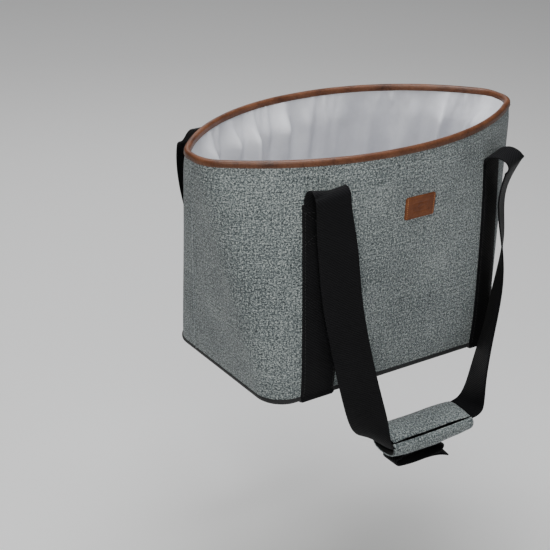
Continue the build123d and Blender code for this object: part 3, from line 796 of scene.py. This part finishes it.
# Thickness: the hidden side is moved towards the wall and the floor
nr, nc = rings.shape[:2]
du = np.roll(rings, -1, 1) - np.roll(rings, 1, 1)
dv = np.gradient(rings, axis=0)
nor = np.cross(du, dv)
nor /= np.maximum(np.linalg.norm(nor, axis=2, keepdims=True), 1e-9)
hidden = rings - nor * 0.5
if (nor[5, :, :2] * rings[5, :, :2]).sum() > 0:
    hidden = rings + nor * 0.5
verts = np.concatenate([rings.reshape(-1, 3), hidden.reshape(-1, 3)])
n_in = nr * nc
faces = ring_quads(nr, nc, 0, False) + ring_quads(nr, nc, n_in, True)
for c in range(nc):
    d = (c + 1) % nc
    faces.append((d, c, n_in + c, n_in + d))
faces.append(tuple((nr - 1) * nc + c for c in range(nc)))
faces.append(tuple(n_in + (nr - 1) * nc + c for c in reversed(range(nc))))
uvs = []
for f in faces:
    cs = [i % nc for i in f]
    wraps = max(cs) - min(cs) > nc // 2 and len(f) == 4
    for i in f:
        c, r = i % nc, (i % n_in) // nc
        c = c + nc if wraps and c < nc // 2 else c
        if r >= len(lining_heights):
            uvs.append((verts[i][0], verts[i][1]))
        else:
            uvs.append(((c / nc - 0.5) * 900.0, 400 - vs[r]))
lining = build("lining_cloth", verts, faces, uvs)
finish_piece(lining, lining_mat, "bag", ["lining"])

# --- Rim binding -------------------------------------------------------------------------------
rim = level(HEIGHT)
inset = 1.95
n_rim = 520
s = np.linspace(0, rim.length, n_rim, endpoint=False)
line2 = rim.at(s)
nrm2 = rim.normal(s)
for _ in range(4):
    nrm2 = (np.roll(nrm2, 1, 0) + nrm2 * 2 + np.roll(nrm2, -1, 0)) / 4
nrm2 /= np.linalg.norm(nrm2, axis=1, keepdims=True)
wob = 0.12 * np.sin(s / 9.0) + 0.10 * np.sin(s / 5.3 + 1) + 0.08 * np.sin(s / 23.0)
# Half section from the outer lower edge over the top to the inner lower edge, as (out, up)
half_w, top_z, low_z = 3.05, 3.1, -3.3
sec = []
for a in np.linspace(0, math.pi, 13):
    sec.append((half_w * math.cos(a), top_z - half_w * 0.95 + half_w * 0.95 * math.sin(a)))
sec += [(-half_w - 0.1, -1.1), (-half_w, -2.6), (-half_w + 0.35, low_z), (-half_w + 1.0, low_z + 0.2)]
sec += [(half_w - 1.0, low_z + 0.2), (half_w - 0.35, low_z), (half_w, -2.6), (half_w + 0.1, -1.1)]
sec = np.array(sec)
rings = []
for i in range(n_rim):
    grow = 1 + wob[i] * 0.07
    o2 = sec[:, 0] * grow - inset
    rings.append(np.concatenate([line2[i] + nrm2[i] * o2[:, None], (HEIGHT + sec[:, 1] * grow)[:, None]], 1))
rings = np.array(rings)
sec_run = run_along(np.vstack([sec, sec[:1]]))
binding = tube("rim_binding_leather", rings[:, ::-1], sec_run, (s - rim.length / 2) * 0.85, closed=True)
sharp_edges(binding, 55)
finish_piece(binding, binding_mat, "bag", ["rim_binding"])
step = 4.0
ss = np.arange(0, rim.length - 1, step)
pn, tn = rim.at(ss), rim.at(ss + 1) - rim.at(ss - 1)
nn = rim.normal(ss)
pts, tans, nors = [], [], []
for p, q, n2 in zip(pn, tn, nn):
    for side in (1, -1):
        out = -inset + side * (half_w + 0.02)
        pts.append(np.array([p[0] + n2[0] * out, p[1] + n2[1] * out, HEIGHT - 2.2]))
        tans.append(np.array([q[0], q[1], 0.0]))
        nors.append(np.array([n2[0] * side, n2[1] * side, 0.0]))
stitches("binding_stitches", pts, tans, nors, thread_brown, "bag", 2.6, 0.30)

# --- Webbing sewn to the bag -------------------------------------------------------------------
def leg_rows(centre, width, side):
    """Points up one panel under the webbing: x across, h up."""
    across = np.linspace(-width / 2, width / 2, WEB_COLS)
    hs = np.concatenate([np.linspace(3.0, 12, 5), np.arange(16, LEG_TOP - 2, 4.0), [LEG_TOP]])
    pts, nrs = [], []
    for h in hs:
        p2, n2 = on_panel(h, centre + across, side, 0.95)
        pts.append(np.concatenate([p2, np.full((WEB_COLS, 1), h)], 1))
        nrs.append(np.concatenate([n2, np.zeros((WEB_COLS, 1))], 1))
    return across, hs, np.array(pts), np.array(nrs)


def cradle(name, node, centre, width):
    """Webbing sewn up the front, under the base and up the back, in one piece."""
    across, hs, pf, nf = leg_rows(centre, width, -1)
    _, _, pb, nb = leg_rows(centre, width, 1)
    rows_p, rows_n = list(pf[::-1]), list(nf[::-1])
    lv = level(0.0)
    x = centre + across
    for side in (-1, 1):
        s_here = lv.front(x) if side < 0 else lv.back(x)
        n2 = lv.normal(s_here)
        p2 = lv.at(s_here)
        turn_rows = []
        for a in (0, 30, 60, 90):
            r = math.radians(a)
            p = p2 + n2 * (0.6 + 1.6 * math.cos(r))
            z = 0.9 - 1.8 * math.sin(r)
            n3 = np.concatenate([n2 * math.cos(r), np.full((WEB_COLS, 1), -math.sin(r))], 1)
            turn_rows.append((np.concatenate([p, np.full((WEB_COLS, 1), z)], 1), n3))
        if side < 0:
            rows_p += [q for q, _ in turn_rows]
            rows_n += [q for _, q in turn_rows]
            yf = p2[:, 1]
        else:
            yb = p2[:, 1]
            for k in np.linspace(0.05, 0.95, 12):
                y = lerp(yf, yb, k)
                sag = -1.35 - 0.7 * math.sin(math.pi * k)
                rows_p.append(np.stack([x, y, np.full(WEB_COLS, sag)], 1))
                rows_n.append(np.tile([0.0, 0.0, -1.0], (WEB_COLS, 1)))
            rows_p += [q for q, _ in turn_rows[::-1]]
            rows_n += [q for _, q in turn_rows[::-1]]
    rows_p += list(pb)
    rows_n += list(nb)
    p, n = np.array(rows_p), np.array(rows_n)
    # Rounded long edges
    rim_t = np.minimum(across + width / 2, width / 2 - across)
    thick = 1.6 - 0.9 * np.exp(-(rim_t / 0.7) ** 2)
    v = run_along(p[:, WEB_COLS // 2])
    u = np.tile(across, (len(p), 1))
    o = slab(name, p + n * (0.1 + thick)[None, :, None], p + n * 0.1, u, np.repeat(v[:, None], WEB_COLS, 1) - 100)
    sharp_edges(o, 60)
    return finish_piece(o, webbing_mat, "bag", [node])


legs = {"left": (LEG_LEFT, WEBBING), "right": (LEG_RIGHT, 33.4)}
for side_name, (cx, w) in legs.items():
    cradle(f"webbing_{side_name}_sewn", f"webbing_{side_name}", cx, w)

# Stitch lines along both edges of each front and back leg, and crossed boxes under the loops
pts, tans, nors = [], [], []


def on_leg(cx, dx, h, side):
    (p2,), (n2,) = on_panel(h, np.array([cx + dx]), side, 2.67)
    return np.array([*p2, h]), np.array([*n2, 0.0])


def stitch_run(cx, start, end, side):
    gap = 3.6
    length = math.hypot(end[0] - start[0], end[1] - start[1])
    for k in range(int(length / gap) + 1):
        f = k * gap / length
        dx, h = lerp(start[0], end[0], f), lerp(start[1], end[1], f)
        p, n = on_leg(cx, dx, h, side)
        q, _ = on_leg(cx, dx + (end[0] - start[0]) / length, h + (end[1] - start[1]) / length, side)
        pts.append(p)
        tans.append(q - p)
        nors.append(n)


for cx, w in legs.values():
    e = w / 2 - 2.6
    for side in (-1, 1):
        ends = (((-e, 6), (-e, 192)), ((e, 6), (e, 192)), ((-e, 192), (e, 192)), ((-e, 162), (e, 162)),
                ((-e, 162), (e, 192)), ((e, 162), (-e, 192)))
        for start, end in ends:
            stitch_run(cx, start, end, side)
stitches("webbing_stitches", pts, tans, nors, thread_black, "bag", 2.5, 0.33)


# --- Handles -----------------------------------------------------------------------------------
def wall_at(cx, h, side):
    """Middle of the sewn webbing, the way out of the wall and the way across it."""
    (p2,), (n2,) = on_panel(h, np.array([cx]), side, 1.85)
    return np.array([*p2, h]), np.array([*n2, 0.0]), np.array([-n2[1], n2[0], 0.0])


def loop(name, cx, side, end, end_across, lift, last_along):
    """Webbing that leaves the wall, arches out and comes to the free handle's end."""
    p0, n0, a0 = wall_at(cx, LOOP_FOOT, side)
    p1, _, _ = wall_at(cx, LOOP_FOOT - 3.0, side)
    up = (p0 - p1) / np.linalg.norm(p0 - p1)
    end = np.asarray(end, float)
    end_across = np.asarray(end_across, float)
    a0 = a0 * np.sign(a0[0]) * np.sign(end_across[0])
    flat = (end - p0) * np.array([1, 1, 0])
    stations = [np.concatenate([p0, a0]), np.concatenate([p0 + up * 4.5 + n0 * 0.25, a0])]
    for f, rise in ((0.16, 0.80), (0.45, 1.0), (0.78, 0.86)):
        arch = p0 + flat * f + np.array([0, 0, lift * rise])
        stations.append(np.concatenate([arch, lerp(a0, end_across, f)]))
    stations.append(np.concatenate([end - last_along * 5.0, lerp(a0, end_across, 0.97)]))
    stations.append(np.concatenate([end, end_across]))
    o = ribbon(name, stations, spacing=0.9, v0=-60, last_along=last_along)
    finish_piece(o, webbing_mat, "bag", rides=False)
    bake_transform(o)
    return o


LOOP_FOOT = LEG_TOP - 0.2
FRONT_LEFT_END = (-88.2, -110.6, 199.5)
right_wall, right_out, _ = wall_at(LEG_RIGHT, LOOP_FOOT, -1)
FRONT_RIGHT_END = (*(right_wall + right_out * 23.0)[:2], 196.0)
RIGHT_ACROSS = (-0.89, -0.455)
REAR_LEFT_END = (-88.0, 101.0, 213.6)
REAR_RIGHT_END = (116.5, 100.0, 213.6)

front_path = [
    (*FRONT_LEFT_END, 1, 0.0, 0),
    (-86.5, -110.6, 184, 1, -0.1, 0),
    (-83.0, -110.8, 160, 0.96, -0.28, 0),
    (-77.5, -112.6, 110, 0.92, -0.38, 0),
    (-68.5, -115.5, 60, 0.95, -0.30, 0),
    (-57.0, -118.5, 10, 0.92, -0.38, 0),
    (-48.0, -121.0, -24, 0.8, -0.6, 0, -0.5),
    (-39.5, -124.2, -46, 0.45, -0.9, 0, -1.0),
    (-27.0, -125.5, -56, 0.10, -1, 0, -4.0),
    (-10, -124.5, -56.0, 0, -1, 0, -8.0),
    (12, -124, -53.0, 0, -1, 0, -9.5),
    (40, -124, -53.0, 0, -1, 0, -9.5),
    (62, -124, -51.6, 0, -1, 0, -8.0),
    (83.7, -121, -48.8, -0.1, -1, 0),
    (95.6, -117.5, -22.5, -0.3, -0.95, 0),
    (107.4, -112, 10.4, -0.45, -0.89, 0),
    (127.4, -103, 72.6, -0.55, -0.84, 0),
    (132.3, -98, 113.7, -0.7, -0.71, 0),
    (130.8, -93.5, 154.5, -0.78, -0.62, 0),
    (*FRONT_RIGHT_END, *RIGHT_ACROSS, 0),
]
strap = ribbon("front_handle_strap", front_path, crown=0.7, flutter=0.25)
finish_piece(strap, webbing_mat, "front_handle", ["front_strap"])
first, last = ENDS["front_handle_strap"]
loop("front_loop_left", LEG_LEFT, -1, FRONT_LEFT_END, (1, 0, 0), 14.0, first)
loop("front_loop_right", LEG_RIGHT, -1, FRONT_RIGHT_END, (*RIGHT_ACROSS, 0), 9.0, -last)

BAR_Y, BAR_Z, REAR_HANG = 135.0, 175.0, 152
WRAP = 12.7 + 2.6


def over_bar(x, angle, ax, ay):
    a = math.radians(angle)
    return (x, BAR_Y + WRAP * math.cos(a), BAR_Z + WRAP * math.sin(a), ax, ay, 0)


rear_path = [
    (*REAR_LEFT_END, 1, 0, 0),
    (-87.3, 110, 211.5, 1, 0, 0),
    (-85.5, 124, 201.5, 1, 0, 0),
    over_bar(-84.0, 80, 1, 0),
    over_bar(-83.0, 48, 1, 0),
    over_bar(-82.0, 8, 1, 0),
    (-80, 151.5, 140, 1, 0.1, 0),
    (-71, REAR_HANG, 100, 1, 0.25, 0),
    (-55, REAR_HANG, 45, 0.75, 0.6, 0),
    (-38, REAR_HANG, 0, 0.25, 1, 0),
    (-19, REAR_HANG, -22.5, 0, 1, 0),
    (14, REAR_HANG, -27.5, 0, 1, 0),
    (47, REAR_HANG, -22.5, 0, 1, 0),
    (66, REAR_HANG, 0, -0.25, 1, 0),
    (78, REAR_HANG, 45, -0.7, 0.7, 0),
    (92, REAR_HANG, 100, -1, 0.3, 0),
    (100, 151.5, 140, -1, 0.12, 0),
    over_bar(108, 8, -1, 0),
    over_bar(110, 48, -1, 0),
    over_bar(112, 80, -1, 0),
    (114, 124, 201.5, -1, 0, 0),
    (115.8, 110, 211.5, -1, 0, 0),
    (*REAR_RIGHT_END, -1, 0, 0),
]
rear = ribbon("rear_handle_strap", rear_path, crown=0.5, flutter=0.2)
finish_piece(rear, webbing_mat, "rear_handle", ["rear_strap"])
first, last = ENDS["rear_handle_strap"]
loop("rear_loop_left", LEG_LEFT, 1, REAR_LEFT_END, (1, 0, 0), 14.0, first)
loop("rear_loop_right", LEG_RIGHT, 1, REAR_RIGHT_END, (-1, 0, 0), 14.0, -last)

# --- Label -------------------------------------------------------------------------------------
LABEL_X, LABEL_H, LABEL_W, LABEL_T = 14.0, 178.0, 35.0, 23.0
lx = np.linspace(-LABEL_W / 2, LABEL_W / 2, 57)
lh = np.linspace(-LABEL_T / 2, LABEL_T / 2, 39)
outer, inner = [], []
for dh in lh:
    ro, ri = [], []
    for dx in lx:
        # Rounded corners: the grid is pulled in near them
        cx_, cy_ = LABEL_W / 2 - 2.5, LABEL_T / 2 - 2.5
        px, py = dx, dh
        if abs(dx) > cx_ and abs(dh) > cy_:
            vx, vy = abs(dx) - cx_, abs(dh) - cy_
            m = max(vx, vy)
            r = math.hypot(vx, vy)
            px, py = math.copysign(cx_ + vx / r * m, dx), math.copysign(cy_ + vy / r * m, dh)
        edge = min(LABEL_W / 2 - abs(dx), LABEL_T / 2 - abs(dh))
        lift = 1.55 * (1 - math.exp(-((edge + 0.35) / 0.55) ** 2)) + 0.15
        groove = 0.28 * math.exp(-((edge - 2.0) / 0.45) ** 2)
        # Generic pressed mark: a framed bar with a small lozenge
        frame_d = max(abs(dx) - 9.0, abs(dh) - 4.2)
        mark = 0.42 * math.exp(-(frame_d / 0.5) ** 2)
        loz = abs(dx) / 3.6 + abs(dh) / 2.3 - 1
        mark += 0.42 / (1 + math.exp(loz * 14)) if frame_d < 0 else 0.0
        h = LABEL_H + py
        lv = level(h)
        s_here = lv.front(np.array([LABEL_X + px]))
        n2 = lv.normal(s_here)[0]
        p2 = lv.at(s_here)[0]
        w = float(front_waves(h, np.array([LABEL_X + px]))[0]) + 0.9
        ro.append([*(p2 + n2 * (w + lift - groove - mark)), h])
        ri.append([*(p2 + n2 * (w - 0.15)), h])
    outer.append(ro)
    inner.append(ri)
u, v = np.meshgrid(lx, lh)
label = slab("label_leather", np.array(outer), np.array(inner), u, v)
finish_piece(label, label_mat, "bag", ["label_patch"])
pts, tans, nors = [], [], []
for side in (-1, 1):
    for dh in np.arange(-LABEL_T / 2 + 2.4, LABEL_T / 2 - 1.5, 2.1):
        h = LABEL_H + dh
        lv = level(h)
        x = np.array([LABEL_X + side * (LABEL_W / 2 - 1.9)])
        n2 = lv.normal(lv.front(x))[0]
        p2 = lv.at(lv.front(x))[0] + n2 * (0.9 + front_waves(h, x)[0] + 1.5)
        pts.append(np.array([*p2, h]))
        tans.append(np.array([0, 0, 1.0]))
        nors.append(np.array([*n2, 0.0]))
stitches("label_stitches", pts, tans, nors, thread_tan, "bag", 1.5, 0.3)

# --- Grip --------------------------------------------------------------------------------------
GX, GY, GZ, GRIP = 20.0, -124.0, -52.0, 98.0
GRIP_COLS, FLAP_ROWS = 61, 27
wrap_path = np.array([
    (-17.4, 1.2), (-19.2, -1.6), (-20.0, -6.4), (-18.6, -11.6), (-13.6, -15.6), (-5.0, -17.6), (4.5, -17.6),
    (12.4, -15.6), (17.4, -11.4), (18.8, -6.0), (18.2, -0.6), (16.6, 3.4),
])
wrap_line = spline(np.hstack([wrap_path, np.zeros((len(wrap_path), 1))]), 1.1)[:, :2]
tan = np.gradient(wrap_line, axis=0)
tan /= np.linalg.norm(tan, axis=1, keepdims=True)
wn = np.stack([tan[:, 1], -tan[:, 0]], 1)
if (wn[len(wn) // 2] * (wrap_line[len(wn) // 2] - np.array([0, -9]))).sum() < 0:
    wn = -wn
run = run_along(wrap_line)
xs = np.linspace(-GRIP / 2, GRIP / 2, GRIP_COLS)
outer, inner = [], []
for x in xs:
    f = x / (GRIP / 2)
    end_round = 1 - 0.10 * abs(f) ** 6
    puff = 0.9 * (1 - f**4) + 0.35 * math.sin(x / 7.0 + 1) * (1 - abs(f))
    crease = 0.35 * np.sin(run / 6.0 + x / 19.0)
    grow = (puff + crease * (1 - abs(f) ** 3)) * smooth(run / 6) * smooth((run[-1] - run) / 8)
    mid = np.array([0.0, -9.0])
    ring = mid + (wrap_line - mid) * end_round
    flare = 2.2 * smooth((abs(f) - 0.86) / 0.14) * np.exp(-((run - 6) / 9.0) ** 2)
    o2 = ring + wn * (grow + flare)[:, None]
    thick = 2.4 - 1.2 * np.exp(-((run) / 1.5) ** 2) - 0.9 * smooth((abs(f) - 0.93) / 0.07)
    i2 = o2 - wn * thick[:, None]
    bend = 0.9 * abs(f) ** 2
    gx = np.full(len(run), GX + x) + flare * np.sign(f) * 0.6
    for grid, q in ((outer, o2), (inner, i2)):
        grid.append(np.stack([gx, GY + q[:, 0], GZ + q[:, 1] + bend], 1))
outer, inner = np.array(outer), np.array(inner)
cover = slab("grip_wrap", outer, inner, np.repeat(xs[:, None], len(run), 1), np.tile(run, (GRIP_COLS, 1)))
finish_piece(cover, [heather_cloth, black_lined], "front_handle", ["grip_cover", "grip_pad"])
line_inside(cover, GRIP_COLS, len(run))

flap_w, flap_t = 31.5, 2.6
fy = np.linspace(0, 1, FLAP_ROWS)
fx = np.linspace(-GRIP / 2 + 0.5, GRIP / 2 - 0.5, GRIP_COLS)
outer, inner = [], []
for x in fx:
    f = x / (GRIP / 2)
    droop = 0.8 * f**2 + 0.35 * math.sin(x / 9 + 2)
    ro, ri = [], []
    for q in fy:
        y = GY + 15.5 - flap_w * q
        edge_x = GRIP / 2 - 0.5 - abs(x)
        edge_y = min(q * flap_w + 3, (1 - q) * flap_w)
        edge = min(edge_x, edge_y)
        full = 1 - 0.72 * math.exp(-(edge / 1.5) ** 2)
        seam = 0.45 * math.exp(-((min(edge_x, (1 - q) * flap_w) - 3.6) / 0.8) ** 2)
        crown = 1.1 * math.sin(math.pi * q) * (1 - f**4)
        z = GZ + 6.4 + crown - droop - 2.6 * q**2 - 1.4 * math.exp(-(q / 0.10) ** 2)
        ro.append((GX + x, y, z + flap_t / 2 * full - seam))
        ri.append((GX + x, y, z - flap_t / 2 * full))
    outer.append(ro)
    inner.append(ri)
u, v = np.repeat(fx[:, None], FLAP_ROWS, 1), np.tile(fy * flap_w, (GRIP_COLS, 1))[:, ::-1] + 80
flap = slab("grip_flap_cloth", np.array(outer)[:, ::-1], np.array(inner)[:, ::-1], u, v)
finish_piece(flap, [heather_cloth, black_lined], "flap", ["grip_flap"])
line_inside(flap, GRIP_COLS, FLAP_ROWS)
pts, tans, nors = [], [], []
top = np.array(outer)
for k in range(3, GRIP_COLS - 3, 2):
    pts.append(top[k, 23] + np.array([0, 0, 0.05]))
    tans.append(np.array([1.0, 0, 0]))
    nors.append(np.array([0, 0, 1.0]))
stitches("flap_stitches", pts, tans, nors, thread_grey, "flap", 2.2, 0.28)

# Closure strap folded under the grip, with its loose end
tab_path = [
    (-13, GY, -73.4), (-4, GY, -72.8), (12, GY, -72.6), (28, GY, -72.9), (37, GY, -74.0), (41.5, GY, -77.6),
    (39.5, GY, -81.8), (32, GY, -83.9), (16, GY, -84.6), (0, GY, -84.4), (-11, GY, -83.4),
    (-17.4, GY, -81.4), (-19.4, GY, -78.0), (-17.2, GY, -75.2), (-12.5, GY, -75.4),
]
tab = ribbon("closure_strap", [(*p, 0, 1, 0) for p in tab_path], 21.0, spacing=1.2, flutter=0.3)
finish_piece(tab, webbing_mat, "front_handle", ["closure_tab"])
tail_path = [
    (2, GY - 1, -86.6), (16, GY - 1.5, -86.9), (30, GY - 2.5, -87.0), (41, GY - 4, -88.4),
    (49, GY - 5.5, -91.0),
]
tail = ribbon("closure_tail", [(*p, 0.08, 1, 0) for p in tail_path], 12.0, 1.5, 1.2)
finish_piece(tail, webbing_mat, "front_handle")

# --- Floor, light and camera -------------------------------------------------------------------
LOWEST, FLOOR_DROP = -0.27, 0.22
lowest = min(cad_box[0][2], LOWEST)
bpy.ops.mesh.primitive_plane_add(size=12, location=(0, 0, lowest - FLOOR_DROP))
floor = bpy.context.object
floor.name = "floor"
floor_mat = Nodes("floor_pale", rough=0.9)
floor_mat.b.inputs["Base Color"].default_value = (0.9, 0.9, 0.9, 1)
floor_mat.b.inputs["Emission Color"].default_value = (1, 1, 1, 1)
floor_mat.b.inputs["Emission Strength"].default_value = 0.08
floor.data.materials.append(floor_mat.m)

world = bpy.data.worlds.new("studio")
bpy.context.scene.world = world
world.use_nodes = True
world.node_tree.nodes["Background"].inputs[0].default_value = (0.95, 0.97, 1.0, 1)
world.node_tree.nodes["Background"].inputs[1].default_value = 0.07


def area(name, location, target, size, energy, colour):
    data = bpy.data.lights.new(name, "AREA")
    data.size = size
    data.energy = energy
    data.color = colour
    o = bpy.data.objects.new(name, data)
    bpy.context.scene.collection.objects.link(o)
    o.location = location
    o.rotation_euler = (Vector(target) - Vector(location)).to_track_quat("-Z", "Y").to_euler()


middle = (0.0, -0.15, -0.06)
area("key", (-0.45, -0.78, 0.40), (-0.14, -0.2, -0.08), 0.4, 4.3, (1.0, 1.0, 0.95))
area("fill", (0.9, -1.2, 0.3), middle, 1.0, 0.8, (0.80, 0.90, 1.0))
area("top", (-0.02, -0.25, 0.88), (0.0, -0.1, 0.0), 0.4, 6.0, (0.97, 0.98, 1.0))
area("rear", (0.6, 1.2, 0.8), middle, 1.0, 3.5, (1.0, 1.0, 1.0))
area("backdrop", (-0.2, 0.6, 2.6), (0.4, 2.0, -0.3), 2.0, 60, (1.0, 1.0, 1.0))

yaw, pitch, roll = 0.589791, 0.429241, 0.0142125
forward = Vector((math.sin(yaw) * math.cos(pitch), math.cos(yaw) * math.cos(pitch), -math.sin(pitch)))
right = Vector((math.cos(yaw), -math.sin(yaw), 0))
up = right.cross(forward)
right_r = right * math.cos(roll) + up * math.sin(roll)
up_r = up * math.cos(roll) - right * math.sin(roll)
camera_data = bpy.data.cameras.new("camera")
SENSOR, FOCAL, PICTURE = 36.0, 1355.469, 550
camera_data.sensor_width = SENSOR
camera_data.lens = FOCAL / PICTURE * SENSOR
camera_data.clip_start = 0.05
camera = bpy.data.objects.new("camera", camera_data)
bpy.context.scene.collection.objects.link(camera)
turn = Matrix((right_r, up_r, -forward)).transposed()
camera.matrix_world = Matrix.Translation(Vector((-0.7542, -1.1477, 0.4701))) @ turn.to_4x4()
bpy.context.scene.camera = camera
